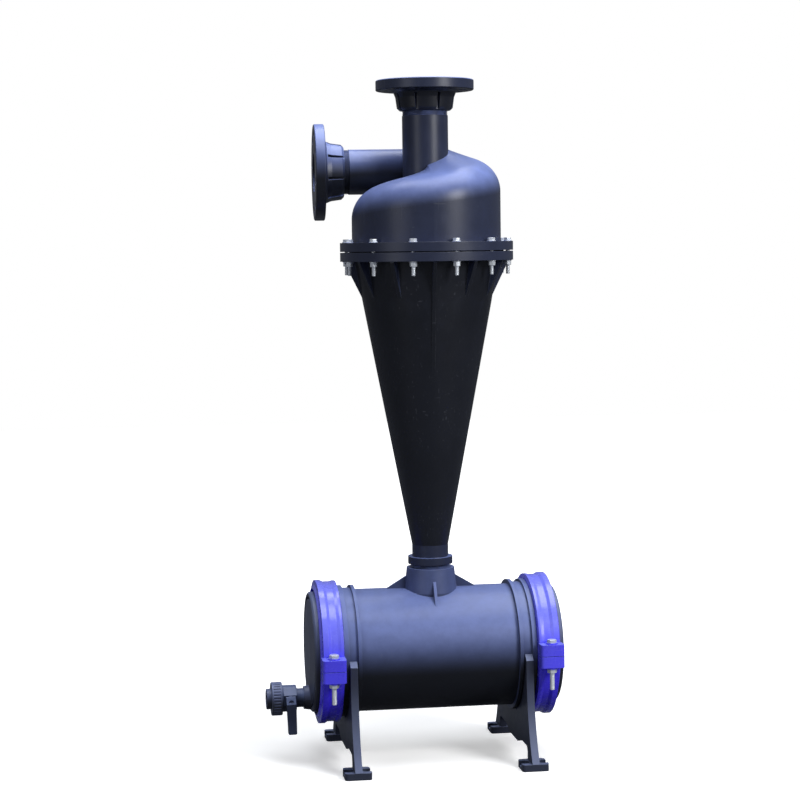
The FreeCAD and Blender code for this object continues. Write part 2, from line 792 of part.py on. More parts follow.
# ---------------------------------------------------------------- end caps
def make_end_cap(side, yaw, drained):
    """Plug-in cap. Its own X runs outwards from the middle of the tank."""
    body = new_body(side + "_end_cap")
    plug = "tank_inner_radius - cap_spigot_clearance"
    plug_end = "cap_flange_near - cap_spigot_length"
    inside = "cap_reach - cap_groove_depth - cap_wall"
    groove_floor = "cap_reach - cap_groove_depth"
    spun(body, "Revolution", "X_Axis", [
        (plug_end, plug + " - cap_wall"),
        (plug_end, plug),
        ("cap_flange_near", plug),
        ("cap_flange_near", "end_flange_radius"),
        ("cap_flange_far", "end_flange_radius"),
        ("cap_flange_far", "cap_radius"),
        ("cap_reach - 3", "cap_radius"),
        ("cap_reach", "cap_radius - 3"),
        ("cap_reach", "cap_groove_outer"),
        (groove_floor, "cap_groove_outer"),
        (groove_floor, "cap_groove_inner"),
        ("cap_reach", "cap_groove_inner"),
        ("cap_reach + cap_dome", "cap_groove_inner * 0.5"),
        ("cap_reach + cap_dome", "0"),
        (inside, "0"),
        (inside, plug + " - cap_wall"),
    ])
    if drained:
        boss = new_sketch(body, "YZ_Plane", inside + " + 1")
        draw_circle(boss, "0", "-drain_drop", "drain_boss_radius")
        pad = raised(body, boss, "drain_boss_reach - (%s) - 1" % inside)
        narrowing = mm.drain_boss_radius - mm.drain_boss_tip
        rise = mm.drain_boss_reach - mm.cap_reach + mm.cap_groove_depth + mm.cap_wall - 1
        pad.TaperAngle = -math.degrees(math.atan(narrowing / rise))
        thread = new_sketch(body, "YZ_Plane", inside + " - 1")
        draw_circle(thread, "0", "-drain_drop", "drain_thread_radius + 0.2")
        cut_out(body, thread, "drain_boss_reach - (%s) + 2" % inside, backwards=True)
    place(body, ("0", "0", "tank_axis_height"), yaw=yaw)


def make_cap_seal(side, yaw):
    """Flat ring between the tank's end flange and the cap's."""
    outer = "end_flange_radius - 0.5"
    body = ring(side + "_cap_seal", outer + " - cap_seal_width", outer,
                "tank_half_length", "cap_flange_near", axis="X_Axis")
    place(body, ("0", "0", "tank_axis_height"), yaw=yaw)


# ---------------------------------------------------------------- clamps
def make_clamp_half(label, offset, yaw, roll):
    """Half of a clamp, drawn as the upper one about the clamp's own middle."""
    body = new_body(label)
    half = "clamp_half_width"
    inner = "clamp_inner_half"
    inner_bump = "clamp_radius - clamp_inner_step"
    valley = "clamp_radius - clamp_valley"
    spun(body, "Revolution", "X_Axis", [
        ("-%s" % half, "clamp_lip"),
        ("-%s" % half, "clamp_radius - clamp_shoulder"),
        ("-%s + 2" % half, inner_bump),
        ("-%s * 0.7" % half, inner_bump),
        ("-%s * 0.45" % half, valley),
        ("%s * 0.1" % half, valley),
        ("%s * 0.35" % half, "clamp_radius"),
        ("%s * 0.8" % half, "clamp_radius"),
        ("%s * 0.85" % half, "clamp_radius - clamp_shoulder"),
        (half, "clamp_radius - clamp_outer_drop"),
        (half, "clamp_lip"),
        (inner, "clamp_lip"),
        (inner, "clamp_floor"),
        ("-" + inner, "clamp_floor"),
        ("-" + inner, "clamp_lip"),
    ], angle="180")
    lugs = new_sketch(body, "XY_Plane")
    for root, reach in (("lug_root", "lug_reach"), ("-lug_reach", "-lug_root")):
        draw_outline(lugs, [("-" + half, root), (half, root), (half, reach), ("-" + half, reach)])
    raised(body, lugs, "lug_height")
    bosses = new_sketch(body, "XY_Plane", "lug_height - 1")
    for reach in ("lug_bolt_offset", "-lug_bolt_offset"):
        draw_circle(bosses, "0", reach, "lug_boss_radius")
    raised(body, bosses, "lug_boss_height + 1")
    split = new_sketch(body, "XY_Plane")
    wide = half + " + 1"
    far = "lug_reach + 1"
    draw_outline(split, [
        ("-(%s)" % wide, "-(%s)" % far), (wide, "-(%s)" % far),
        (wide, far), ("-(%s)" % wide, far)])
    cut_out(body, split, "clamp_split / 2", backwards=True)
    hole = new_sketch(body, "XY_Plane")
    for reach in ("lug_bolt_offset", "-lug_bolt_offset"):
        draw_circle(hole, "0", reach, "large_bolt_hole_radius")
    cut_out(body, hole)

    def is_lug_corner(edge):
        spot = middle(edge)
        upright_edge = abs(edge.tangentAt(edge.FirstParameter).z) > 0.9
        return upright_edge and abs(abs(spot.y) - mm.lug_reach) < 0.1

    rounded(body, "lug_corner", is_lug_corner)
    place(body, (offset, "0", "tank_axis_height"), yaw=yaw, roll=roll)


def make_clamps():
    """Two halves round each end joint, the left pair turned a little more than the right."""
    for side, offset, yaw, roll in (
            ("left", "-clamp_centre", "180", "-left_clamp_turn"),
            ("right", "clamp_centre", "0", "right_clamp_turn")):
        make_clamp_half(side + "_clamp_upper", offset, yaw, roll)
        make_clamp_half(side + "_clamp_lower", offset, yaw, "180 + (%s)" % roll)


# ---------------------------------------------------------------- fasteners
def hexagon(flats, height):
    """A hexagonal prism on the level z = 0."""
    corner = flats / 2 / math.cos(math.radians(30))
    turns = [math.radians(60 * k) for k in range(7)]
    outline = [Vector(corner * math.cos(turn), corner * math.sin(turn), 0) for turn in turns]
    return Part.Face(Part.makePolygon(outline)).extrude(Vector(0, 0, height))


def bolt(radius, flats, head, length):
    """Hexagon bolt hanging from the level z = 0, with its head above it."""
    shank = Part.makeCylinder(radius, length + 1, Vector(0, 0, -length))
    return hexagon(flats, head).fuse(shank).removeSplitter()


def nut(radius, flats, height):
    """Hexagon nut whose top is at z = 0."""
    prism = hexagon(flats, height).translated(Vector(0, 0, -height))
    hole = Part.makeCylinder(radius + 0.05, height + 2, Vector(0, 0, -height - 1))
    return prism.cut(hole)


def washer(inner, outer, thickness):
    """Flat washer that lies on z = 0."""
    disc = Part.makeCylinder(outer, thickness)
    return disc.cut(Part.makeCylinder(inner, thickness))


def group(label, pattern, spots, placement=None):
    """One node with a separate solid at each spot, given as a base point and a turn about Z."""
    solids = []
    for base, turn in spots:
        solid = pattern.copy()
        solid.rotate(Vector(), Vector(0, 0, 1), turn)
        solid.translate(base)
        solids.append(solid)
    return solid_piece(label, Part.makeCompound(solids), placement)


def flange_spots(height):
    """A spot at each bolt of the head's joint."""
    step = 360 / FLANGE_BOLTS
    spots = []
    for k in range(FLANGE_BOLTS):
        angle = (k + 0.5) * step
        way = Vector(math.cos(math.radians(angle)), math.sin(math.radians(angle)), 0)
        spots.append((way * mm.bolt_circle_radius + Vector(0, 0, height), angle + 30))
    return spots


def make_head_fasteners():
    """Twelve bolts down through both flanges, each with two washers and a nut."""
    turned = head_placement()
    thick = mm.small_washer_thickness
    top = mm.head_flange_top
    below = mm.cone_top - thick
    grip = top + thick - below
    length = grip + mm.small_nut_height + mm.small_bolt_excess
    radius = mm.small_bolt_radius
    flats = mm.small_bolt_flats
    pattern = bolt(radius, flats, mm.small_bolt_head, length)
    group("head_bolts", pattern, flange_spots(top + thick), turned)
    flat = washer(mm.bolt_hole_radius, mm.small_washer_radius, thick)
    group("head_bolt_washers", flat, flange_spots(top) + flange_spots(below), turned)
    group("head_nuts", nut(radius, flats, mm.small_nut_height), flange_spots(below), turned)


def make_clamp_fasteners():
    """A bolt and a nut through each pair of lugs."""
    seat = mm.lug_height + mm.lug_boss_height
    length = 2 * seat + mm.large_nut_height + mm.large_bolt_excess
    radius = mm.large_bolt_radius
    flats = mm.large_bolt_flats
    bolts = []
    nuts = []
    for side, turn in ((-1, mm.left_clamp_turn), (1, mm.right_clamp_turn)):
        centre = Vector(side * mm.clamp_centre, 0, mm.tank_axis_height)
        placed = Placement(centre, Rotation(Vector(1, 0, 0), turn))
        for reach in (-mm.lug_bolt_offset, mm.lug_bolt_offset):
            screw = bolt(radius, flats, mm.large_bolt_head, length)
            screw.Placement = placed * Placement(Vector(0, reach, seat), Rotation())
            bolts.append(screw)
            fixing = nut(radius, flats, mm.large_nut_height)
            fixing.Placement = placed * Placement(Vector(0, reach, -seat), Rotation())
            nuts.append(fixing)
    solid_piece("clamp_bolts", Part.makeCompound(bolts))
    solid_piece("clamp_nuts", Part.makeCompound(nuts))


# ---------------------------------------------------------------- saddles
def saddle_edge():
    """Right half of a saddle's outline in the YZ plane, from the seat round to the middle."""
    axis = mm.tank_axis_height
    seat = mm.saddle_seat
    arm_top = axis + mm.arm_above_axis
    tip = Vector(0, math.sqrt(seat ** 2 - mm.arm_above_axis ** 2), arm_top)
    bottom = Vector(0, 0, axis - seat)
    lower = math.radians(-45)
    on_seat = Vector(0, seat * math.cos(lower), axis + seat * math.sin(lower))
    outer = tip.y + mm.arm_width
    shoulder = Vector(0, outer, arm_top - mm.arm_slope_drop)
    flare_centre = Vector(0, outer + mm.flare_radius, mm.flare_top)

    def on_flare(height):
        drop = mm.flare_top - height
        reach = math.sqrt(mm.flare_radius ** 2 - drop ** 2)
        return Vector(0, flare_centre.y - reach, height)

    pad_top = mm.foot_height
    fillet = mm.leg_inside_fillet
    corner = Vector(0, mm.leg_inside - fillet, mm.web_bottom - fillet)
    rounding = Vector(0, fillet, fillet) * math.cos(math.radians(45))
    foot_inside = Vector(0, mm.leg_inside, pad_top)
    return [
        Part.Arc(bottom, on_seat, tip).toShape(),
        Part.LineSegment(tip, shoulder).toShape(),
        Part.LineSegment(shoulder, Vector(0, outer, mm.flare_top)).toShape(),
        Part.Arc(on_flare(mm.flare_top), on_flare((mm.flare_top + pad_top) / 2),
                 on_flare(pad_top)).toShape(),
        Part.LineSegment(on_flare(pad_top), foot_inside).toShape(),
        Part.LineSegment(foot_inside, corner + Vector(0, fillet, 0)).toShape(),
        Part.Arc(corner + Vector(0, fillet, 0), corner + rounding,
                 corner + Vector(0, 0, fillet)).toShape(),
        Part.LineSegment(corner + Vector(0, 0, fillet),
                         Vector(0, mm.web_high_half, mm.web_bottom)).toShape(),
        Part.LineSegment(Vector(0, mm.web_high_half, mm.web_bottom),
                         Vector(0, mm.web_low_half, mm.web_low)).toShape(),
        Part.LineSegment(Vector(0, mm.web_low_half, mm.web_low),
                         Vector(0, 0, mm.web_low)).toShape(),
        Part.LineSegment(Vector(0, 0, mm.web_low), bottom).toShape(),
    ]


def make_foot():
    """Square foot with two bolt holes, scooped on both sides of the plate for the nuts."""
    half = mm.foot_size / 2
    foot = Part.makeBox(mm.foot_size, mm.foot_size, mm.foot_height, Vector(-half, -half, 0))
    uprights = [edge for edge in foot.Edges if edge.Length < mm.foot_height + 1]
    foot = foot.makeFillet(mm.foot_corner, uprights)
    for side in (-1, 1):
        scoop_base = Vector(side * mm.foot_scoop_offset, 0, mm.foot_scoop_floor)
        foot = foot.cut(Part.makeCylinder(mm.foot_scoop_radius, mm.foot_height, scoop_base))
        hole_base = Vector(side * mm.foot_hole_offset, 0, -1)
        foot = foot.cut(Part.makeCylinder(mm.foot_hole_radius, mm.foot_height + 2, hole_base))
    return foot


def make_saddle(label, offset):
    """Upright plate cut to the tank's ring, on two square feet."""
    half = Part.Face(Part.Wire(saddle_edge())).extrude(Vector(mm.saddle_thickness, 0, 0))
    half.translate(Vector(-mm.saddle_thickness / 2, 0, 0))
    mirrored = half.mirror(Vector(), Vector(0, 1, 0))
    shape = half.fuse(mirrored)
    for side in (-1, 1):
        foot = make_foot().translated(Vector(0, side * mm.foot_centre, 0))
        shape = shape.fuse(foot)
        angle = math.radians(side * mm.notch_angle)
        notch_base = Vector(-mm.saddle_thickness, mm.saddle_seat * math.sin(angle),
                            mm.tank_axis_height - mm.saddle_seat * math.cos(angle))
        notch = Part.makeCylinder(mm.notch_radius, 2 * mm.saddle_thickness, notch_base,
                                  Vector(1, 0, 0))
        shape = shape.cut(notch)
    solid_piece(label, shape.removeSplitter(), Placement(Vector(offset, 0, 0), Rotation()))


# ---------------------------------------------------------------- drain valve
# Each fixed piece of the valve has its own X along the drain, outwards from the tank's middle,
# and the moving pieces are drawn about the middle of the ball. Their own +Y faces the front.
def place_on_drain(body):
    """Put a fixed piece of the valve on the drain's axis."""
    place(body, ("0", "0", "drain_height"), yaw="180")


def place_on_ball(body):
    """Put a moving piece of the valve on the stem's axis, at the lever's angle."""
    place(body, ("-valve_axis_offset", "0", "drain_height"), yaw="180", pitch="-lever_rest_tilt")


def make_valve_body():
    """Octagonal casting with a male thread to the cap, an open union end and a stem boss."""
    body = new_body("valve_body")
    spigot_start = "cap_reach - cap_groove_depth - cap_wall + 2"
    spun(body, "Revolution", "X_Axis", [
        (spigot_start, "0"),
        (spigot_start, "drain_thread_radius"),
        ("valve_near", "drain_thread_radius"),
        ("valve_near", "valve_half_flats - 1"),
        ("valve_far", "valve_half_flats - 1"),
        ("valve_far", "valve_thread_radius"),
        ("valve_thread_end", "valve_thread_radius"),
        ("valve_thread_end", "0"),
    ])
    octagon = new_sketch(body, "YZ_Plane", "valve_near")
    flat = "valve_half_flats"
    side = "valve_half_flats * tan(22.5)"
    draw_outline(octagon, [
        (flat, side), (side, flat), ("-" + side, flat), ("-" + flat, side),
        ("-" + flat, "-" + side), ("-" + side, "-" + flat), (side, "-" + flat), (flat, "-" + side),
    ])
    raised(body, octagon, "2 * valve_half_length")
    boss = new_sketch(body, "XZ_Plane", "-valve_half_flats - stem_boss_height")
    draw_circle(boss, "valve_axis_offset", "0", "stem_boss_radius")
    raised(body, boss, "stem_boss_height + 3")
    room_near = "valve_axis_offset - seat_outer"
    room_far = "valve_axis_offset + seat_outer"
    spun(body, "Groove", "X_Axis", [
        (spigot_start + " - 1", "0"),
        (spigot_start + " - 1", "drain_bore"),
        (room_near, "drain_bore"),
        (room_near, "ball_room"),
        (room_far, "ball_room"),
        (room_far, "carrier_radius"),
        ("valve_thread_end + 1", "carrier_radius"),
        ("valve_thread_end + 1", "0"),
    ])
    collar_hole = new_sketch(body, "XZ_Plane")
    draw_circle(collar_hole, "valve_axis_offset", "0", "stem_collar_radius + stem_gap")
    cut_out(body, collar_hole, "ball_room + stem_collar_height + 0.5")
    stem_hole = new_sketch(body, "XZ_Plane")
    draw_circle(stem_hole, "valve_axis_offset", "0", "stem_radius + stem_gap")
    cut_out(body, stem_hole, "valve_half_flats + stem_boss_height + 1")
    place_on_drain(body)


def make_valve_ball():
    """Ball with a through bore, upright while the valve is shut, and a slot for the stem."""
    body = new_body("valve_ball")
    sketch = new_sketch(body, "XZ_Plane")
    arc = Part.Arc(Vector(0, -16, 0), Vector(16, 0, 0), Vector(0, 16, 0))
    sketch.addGeometry(arc, False)
    sketch.addGeometry(Part.LineSegment(Vector(0, 16, 0), Vector(0, -16, 0)), False)
    ends = sorted((1, 2), key=lambda point: sketch.getPoint(0, point).y)
    sketch.addConstraint(Sketcher.Constraint("Coincident", 0, ends[1], 1, 1))
    sketch.addConstraint(Sketcher.Constraint("Coincident", 0, ends[0], 1, 2))
    sketch.addConstraint(Sketcher.Constraint("Coincident", 0, 3, -1, 1))
    sketch.addConstraint(Sketcher.Constraint("Vertical", 1))
    radius = sketch.addConstraint(Sketcher.Constraint("Radius", 0, 16))
    sketch.setExpression("Constraints[%d]" % radius, linked("ball_radius"))
    feature = body.newObject("PartDesign::Revolution", "Revolution")
    feature.Profile = (sketch, [""])
    feature.ReferenceAxis = (origin_item(body, "Z_Axis"), [""])
    feature.Angle = 360
    bore = new_sketch(body, "XY_Plane")
    draw_circle(bore, "0", "0", "drain_bore")
    cut_out(body, bore)
    slot = new_sketch(body, "XZ_Plane", "-ball_radius - 1")
    half = "(tang_width / 2 + stem_gap)"
    reach = "ball_radius"
    draw_outline(slot, [
        ("-" + half, "-" + reach), (half, "-" + reach), (half, reach), ("-" + half, reach)])
    cut_out(body, slot, "tang_depth + 1", backwards=True)
    place_on_ball(body)


def make_valve_seats():
    """A flat ring on each side of the ball, mirrored about it."""
    body = new_body("valve_seats")
    place_on_drain(body)
    for near, far in (("valve_axis_offset + seat_inner", "valve_axis_offset + seat_outer"),
                      ("valve_axis_offset - seat_outer", "valve_axis_offset - seat_inner")):
        spun(body, "Revolution", "X_Axis", [
            (near, "drain_bore"), (near, "ball_room"), (far, "ball_room"), (far, "drain_bore")])


def make_seat_carrier():
    """Threaded ring that holds the seats against the ball."""
    body = ring("seat_carrier", "drain_bore", "carrier_radius",
                "valve_axis_offset + seat_outer", "carrier_far", axis="X_Axis")
    slots = new_sketch(body, "YZ_Plane", "carrier_far + 1")
    for low, high in (("drain_bore - 1", "carrier_radius + 1"),
                      ("-carrier_radius - 1", "-drain_bore + 1")):
        draw_outline(slots, [("-3", low), ("3", low), ("3", high), ("-3", high)])
    cut_out(body, slots, "carrier_length / 3 + 1")
    place_on_drain(body)


def make_valve_stem():
    """Stem with a tang in the ball's slot and a collar that stops it coming out."""
    body = new_body("valve_stem")
    tang_end = "ball_radius - tang_depth + 0.2"
    collar_start = "ball_room + 0.2"
    spun(body, "Revolution", "Y_Axis", [
        ("0", tang_end),
        ("stem_radius", tang_end),
        ("stem_radius", collar_start),
        ("stem_collar_radius", collar_start),
        ("stem_collar_radius", collar_start + " + stem_collar_height"),
        ("stem_radius", collar_start + " + stem_collar_height"),
        ("stem_radius", "lever_front - 3"),
        ("0", "lever_front - 3"),
    ], plane="XY_Plane")
    flanks = new_sketch(body, "XZ_Plane", "-ball_radius")
    for low, high in (("tang_width / 2", "stem_radius + 2"),
                      ("-stem_radius - 2", "-tang_width / 2")):
        draw_outline(flanks, [(low, "-10"), (high, "-10"), (high, "10"), (low, "10")])
    cut_out(body, flanks, "tang_depth", backwards=True)
    place_on_ball(body)


def make_valve_lever():
    """Handle: a block on the stem, bevelled at its top, and a flat arm that hangs from it."""
    body = new_body("valve_lever")
    back = "valve_half_flats + stem_boss_height + 0.4"
    front = new_sketch(body, "XZ_Plane", "-lever_front")
    draw_outline(front, [
        ("-lever_hub_half", "-lever_above"),
        ("-lever_tip_half", "lever_tip_corner - lever_length"),
        ("lever_tip_corner - lever_tip_half", "-lever_length"),
        ("lever_tip_half - lever_tip_corner", "-lever_length"),
        ("lever_tip_half", "lever_tip_corner - lever_length"),
        ("lever_hub_half", "-lever_above"),
        ("lever_hub_half", "lever_above"),
        ("-lever_hub_half", "lever_above"),
    ])
    raised(body, front, "lever_front - (%s)" % back)
    side = new_sketch(body, "YZ_Plane")
    draw_outline(side, [
        (back + " - 1", "-lever_above - 2"),
        ("lever_back", "-lever_above - 2"),
        ("lever_back", "-lever_length - 1"),
        (back + " - 1", "-lever_length - 1"),
    ])
    draw_outline(side, [
        ("lever_front - lever_bevel_depth", "lever_above"),
        ("lever_front", "lever_above - lever_bevel_height"),
        ("lever_front + 1", "lever_above - lever_bevel_height"),
        ("lever_front + 1", "lever_above + 1"),
        ("lever_front - lever_bevel_depth", "lever_above + 1"),
    ])
    cut_out(body, side)
    hole = new_sketch(body, "XZ_Plane", "-lever_front + 2.8")
    draw_circle(hole, "0", "0", "stem_radius + stem_gap")
    cut_out(body, hole, "lever_front", backwards=True)
    place_on_ball(body)


def make_union():
    """Nut with grip grooves, the tailpiece that it holds, and the seal between."""
    nut_body = new_body("union_nut")
    bore = "valve_thread_radius + 0.3"
    spun(nut_body, "Revolution", "X_Axis", [
        ("union_nut_near", bore),
        ("union_nut_near", "union_nut_radius - 1"),
        ("union_nut_near + 1", "union_nut_radius"),
        ("union_nut_far - 1", "union_nut_radius"),
        ("union_nut_far", "union_nut_radius - 1"),
        ("union_nut_far", "tail_radius + 0.4"),
        ("tail_flange_far", "tail_radius + 0.4"),
        ("tail_flange_far", bore),
    ])
    groove = new_sketch(nut_body, "YZ_Plane", "nut_groove_near")
    draw_circle(groove, "0", "union_nut_radius + nut_groove_radius * 0.3", "nut_groove_radius")
    cut = cut_out(nut_body, groove, "nut_groove_far - nut_groove_near", backwards=True)
    repeated(nut_body, cut, "X_Axis", NUT_GROOVES)
    place_on_drain(nut_body)

    tail = new_body("union_tailpiece")
    spun(tail, "Revolution", "X_Axis", [
        ("tail_flange_near", "drain_bore"),
        ("tail_flange_near", "tail_flange_radius"),
        ("tail_flange_far", "tail_flange_radius"),
        ("tail_flange_far", "tail_radius"),
        ("tail_reach - 1", "tail_radius"),
        ("tail_reach", "tail_radius - 1"),
        ("tail_reach", "tail_bore"),
        ("tail_reach - tail_thread_length", "tail_bore"),
        ("tail_reach - tail_thread_length", "drain_bore"),
    ])
    place_on_drain(tail)

    seal = ring("union_seal", "carrier_radius + 0.5", "tail_flange_radius",
                "valve_thread_end", "tail_flange_near", axis="X_Axis")
    place_on_drain(seal)


# ---------------------------------------------------------------- build, check and write
def check_document():
    """Stop if any object failed or any piece has no valid shape."""
    for item in doc.Objects:
        if "Invalid" in item.State or "Error" in item.State:
            raise RuntimeError("%s (%s) failed: %s" % (item.Name, item.Label, item.State))
    for piece in pieces:
        if piece.Shape.isNull() or not piece.Shape.isValid():
            raise RuntimeError("%s has no valid shape" % piece.Label)


def write_pieces():
    """One file for each piece, named after it."""
    os.makedirs("parts", exist_ok=True)
    for piece in pieces:
        piece.Shape.exportStep("parts/%s.step" % piece.Label)


make_cone()
make_head()
make_vortex_finder()
make_gasket()
make_pipe_joints()
make_tank()
make_underflow_seal()
make_end_cap("left", "180", True)
make_end_cap("right", "0", False)
make_cap_seal("left", "180")
make_cap_seal("right", "0")
make_clamps()
make_head_fasteners()
make_clamp_fasteners()
make_saddle("left_saddle", -mm.saddle_offset)
make_saddle("right_saddle", mm.saddle_offset)
make_valve_body()
make_valve_ball()
make_valve_seats()
make_seat_carrier()
make_valve_stem()
make_valve_lever()
make_union()
doc.recompute()
check_document()
for piece in pieces:
    box = piece.Shape.BoundBox
    print("%-20s %2d solids %10.0f mm3  X %7.1f %7.1f  Y %7.1f %7.1f  Z %7.1f %7.1f" % (
        piece.Label, len(piece.Shape.Solids), piece.Shape.Volume,
        box.XMin, box.XMax, box.YMin, box.YMax, box.ZMin, box.ZMax))
write_pieces()
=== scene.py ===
"""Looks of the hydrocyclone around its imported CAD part. Lengths are in metres."""

import math

import bpy
from mathutils import Matrix, Vector

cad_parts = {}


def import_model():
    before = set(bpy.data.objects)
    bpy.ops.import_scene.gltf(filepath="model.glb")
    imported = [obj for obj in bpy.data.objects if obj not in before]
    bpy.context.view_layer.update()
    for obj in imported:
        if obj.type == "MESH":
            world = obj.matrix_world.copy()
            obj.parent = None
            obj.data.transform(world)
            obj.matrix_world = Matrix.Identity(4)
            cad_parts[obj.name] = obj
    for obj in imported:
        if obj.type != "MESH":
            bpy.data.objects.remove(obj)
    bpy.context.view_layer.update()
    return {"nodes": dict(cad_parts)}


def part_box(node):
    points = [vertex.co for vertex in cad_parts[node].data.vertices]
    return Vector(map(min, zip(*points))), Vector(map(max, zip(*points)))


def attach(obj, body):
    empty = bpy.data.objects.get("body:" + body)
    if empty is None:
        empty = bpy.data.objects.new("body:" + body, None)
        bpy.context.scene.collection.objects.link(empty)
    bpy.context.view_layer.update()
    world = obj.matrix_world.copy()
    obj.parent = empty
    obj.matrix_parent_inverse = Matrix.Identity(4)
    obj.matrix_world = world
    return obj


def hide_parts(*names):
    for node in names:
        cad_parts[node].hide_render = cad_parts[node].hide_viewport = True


# Camera
CAMERA_AZIMUTH = math.radians(-9.048)
CAMERA_YAW = math.radians(0.781)
CAMERA_PITCH = math.radians(4.315)
CAMERA_ROLL = math.radians(-0.759)
CAMERA_DISTANCE = 4.27586
CAMERA_HEIGHT = 1.06101
CAMERA_LENS_MM = 93.75
CAMERA_SENSOR_MM = 36.0

# Finishes, as linear colours. Several are pale blue painted highlights, which a finish mixes
# onto the faces that look up in place of the overhead light's reflection.
BLACK = (0.0085, 0.0098, 0.0150)
BLACK_PAINTED_HIGHLIGHT = (0.175, 0.232, 0.53)
CLAMP_BLUE = (0.062, 0.038, 0.98)
CLAMP_PAINTED_HIGHLIGHT = (0.26, 0.30, 1.00)
GREY_PLASTIC = (0.035, 0.042, 0.070)
GREY_PAINTED_HIGHLIGHT = (0.19, 0.25, 0.50)
DARK_PLASTIC = (0.012, 0.014, 0.021)
RUBBER = (0.011, 0.011, 0.012)
ZINC = (0.74, 0.78, 0.84)
SCUFF = (0.16, 0.17, 0.20)
FOOT_BLACK = (0.034, 0.040, 0.066)
FOOT_PAINTED_HIGHLIGHT = (0.17, 0.21, 0.38)
CAP_GREY = (0.026, 0.028, 0.042)
CAP_PAINTED_HIGHLIGHT = (0.17, 0.21, 0.40)
CLAMP_WEAR = (0.30, 0.34, 0.95)
NUT_GREY = (0.040, 0.044, 0.063)
NUT_PAINTED_HIGHLIGHT = (0.22, 0.27, 0.50)
LEVER_PAINTED_HIGHLIGHT = (0.16, 0.21, 0.42)
ZINC_WEAR = (0.80, 0.82, 0.85)
SEAT_WHITE = (0.72, 0.72, 0.70)

# Light that the floor shows to the camera on top of what falls on it
FLOOR_LIFT = 0.42

# Fasteners
HEAD_BOLT_CIRCLE = 0.167
HEAD_BOLTS = 12
HEAD_TURN = math.radians(-3.1)
SMALL_RADIUS = 0.004
SMALL_FLATS = 0.013
SMALL_PITCH = 0.00125
HEAD_NUT_HEIGHT = 0.0086
HEAD_SEAT_HEIGHT = 1.0638
SMALL_HEAD = 0.0054
LARGE_RADIUS = 0.005
LARGE_FLATS = 0.017
LARGE_PITCH = 0.0015
LARGE_HEAD = 0.0064
LARGE_NUT_HEIGHT = 0.0084
CLAMP_X = 0.221
CLAMP_Y = 0.158
TANK_HEIGHT = 0.224
CLAMP_TURNS = ((-1, math.radians(3.5)), (1, math.radians(-1.0)))
LUG_SEAT = 0.0265
CLAMP_SHANK_END = -0.0694

# Pipe threads
PIPE_THREAD_CORE = 0.0441
PIPE_THREAD_CREST = 0.0462
PIPE_THREAD_PITCH = 0.0023
INLET_HEIGHT = 1.209
INLET_OFFSET = 0.1049
INLET_REACH = 0.223
DRAIN_HEIGHT = 0.129
OUTLET_GAP = (1.3182, 1.3283)
INLET_GAP = (0.0617, 0.0718)
SPIGOT_CORE = 0.0375
SPIGOT_CREST = 0.0398
SPIGOT_GAP = (0.3921, 0.3999)
DRAIN_CORE = 0.0180
DRAIN_CREST = 0.0196
DRAIN_GAP = (-0.2835, -0.2681)

# How finely the extra meshes are divided round their axis
HEX_STEPS = 48
SHANK_STEPS = 40
PIPE_STEPS = 96
DRAIN_STEPS = 72
THREAD_LEVELS = 8
CHAMFER_SLOPE = math.tan(math.radians(30))
SHARP_ANGLE = math.radians(32)
THREAD_OVERLAP = 0.002


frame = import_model()
nodes = frame["nodes"]


# ---------------------------------------------------------------- materials


class Graph:
    """Builds one material's node tree."""

    def __init__(self, name):
        self.material = bpy.data.materials.new(name)
        self.material.use_nodes = True
        self.tree = self.material.node_tree
        self.tree.nodes.clear()

    def put(self, socket, value):
        if isinstance(value, bpy.types.NodeSocket):
            self.tree.links.new(value, socket)
        else:
            socket.default_value = value

    def node(self, kind, inputs=None, **settings):
        made = self.tree.nodes.new("ShaderNode" + kind)
        for key, value in settings.items():
            setattr(made, key, value)
        for key, value in (inputs or {}).items():
            self.put(made.inputs[key], value)
        return made

    def math(self, operation, first, second=0.0, clamp=False):
        made = self.node("Math", {0: first, 1: second}, operation=operation, use_clamp=clamp)
        return made.outputs[0]

    def ramp(self, value, low, high, to_low=0.0, to_high=1.0):
        made = self.node("MapRange", {0: value, 1: low, 2: high, 3: to_low, 4: to_high},
                         interpolation_type="SMOOTHSTEP")
        return made.outputs[0]

    def mix(self, factor, first, second):
        made = self.node("Mix", {0: factor, 6: first, 7: second}, data_type="RGBA")
        return made.outputs[2]

    def noise(self, vector, scale, detail=4.0, roughness=0.55):
        made = self.node("TexNoise", {"Vector": vector, "Scale": scale, "Detail": detail,
                                      "Roughness": roughness})
        return made.outputs[0]


def rgba(colour, share=1.0):
    """A linear colour with alpha, scaled by share."""
    return (colour[0] * share, colour[1] * share, colour[2] * share, 1.0)


